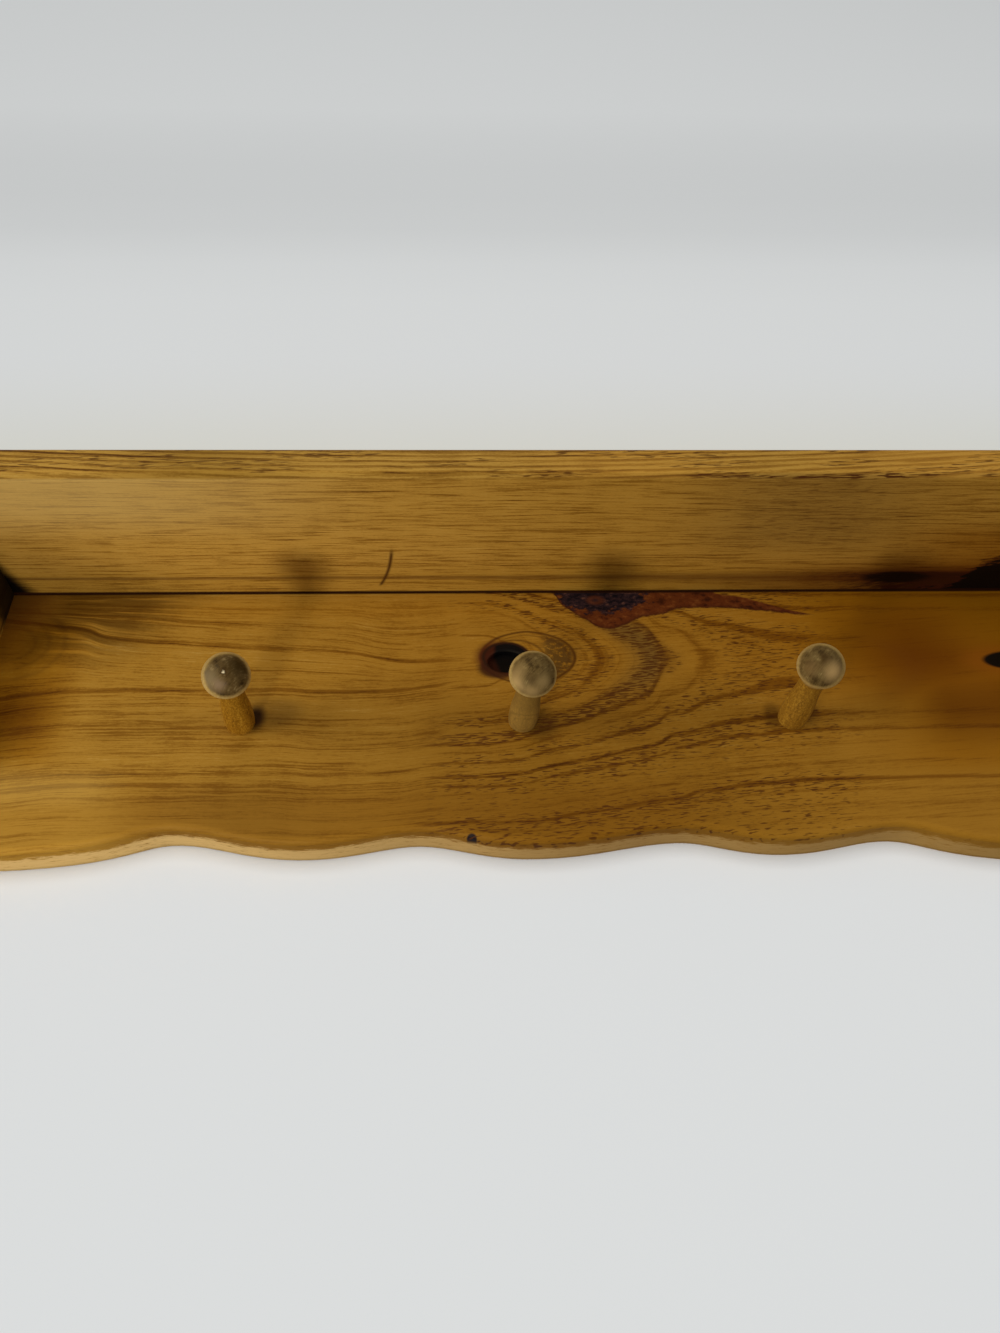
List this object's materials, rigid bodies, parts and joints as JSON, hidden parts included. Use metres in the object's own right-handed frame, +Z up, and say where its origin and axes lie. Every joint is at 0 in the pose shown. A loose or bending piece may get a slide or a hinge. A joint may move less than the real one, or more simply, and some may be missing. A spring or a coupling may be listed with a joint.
{
  "type": "shaker peg rail with shelf",
  "caption": "Wall shelf over a scalloped pine rail with turned pegs, carried by curved end brackets and hung from keyhole plates in its back.",
  "frame": {"origin": "on the wall plane, midway between the entry holes of the two keyhole plates", "axes": "+X along the rail, to the right as seen from the room; +Y into the wall; +Z up"},
  "size_m": [0.6096, 0.107, 0.187],
  "materials": {
    "rail_pine": "satin",
    "shelf_pine": "satin",
    "bracket_pine": "satin",
    "peg_wood": "satin",
    "plug_pine": "satin",
    "screw_steel": "satin",
    "plate_steel": "satin",
    "plate_screw_steel": "satin"
  },
  "bodies": {
    "root": {"back_rail": "rail_pine", "shelf_board": "shelf_pine", "left_bracket": "bracket_pine", "right_bracket": "bracket_pine", "left_peg": "peg_wood", "middle_peg": "peg_wood", "right_peg": "peg_wood", "shelf_to_rail_screws": "screw_steel", "shelf_to_left_bracket_screws": "screw_steel", "shelf_to_right_bracket_screws": "screw_steel", "left_bracket_to_rail_screws": "screw_steel", "right_bracket_to_rail_screws": "screw_steel", "shelf_to_rail_plugs": "plug_pine", "shelf_to_left_bracket_plugs": "plug_pine", "shelf_to_right_bracket_plugs": "plug_pine", "left_bracket_plugs": "plug_pine", "right_bracket_plugs": "plug_pine", "left_keyhole_plate": "plate_steel", "right_keyhole_plate": "plate_steel", "left_keyhole_plate_screws": "plate_screw_steel", "right_keyhole_plate_screws": "plate_screw_steel"}
  },
  "joints": []
}
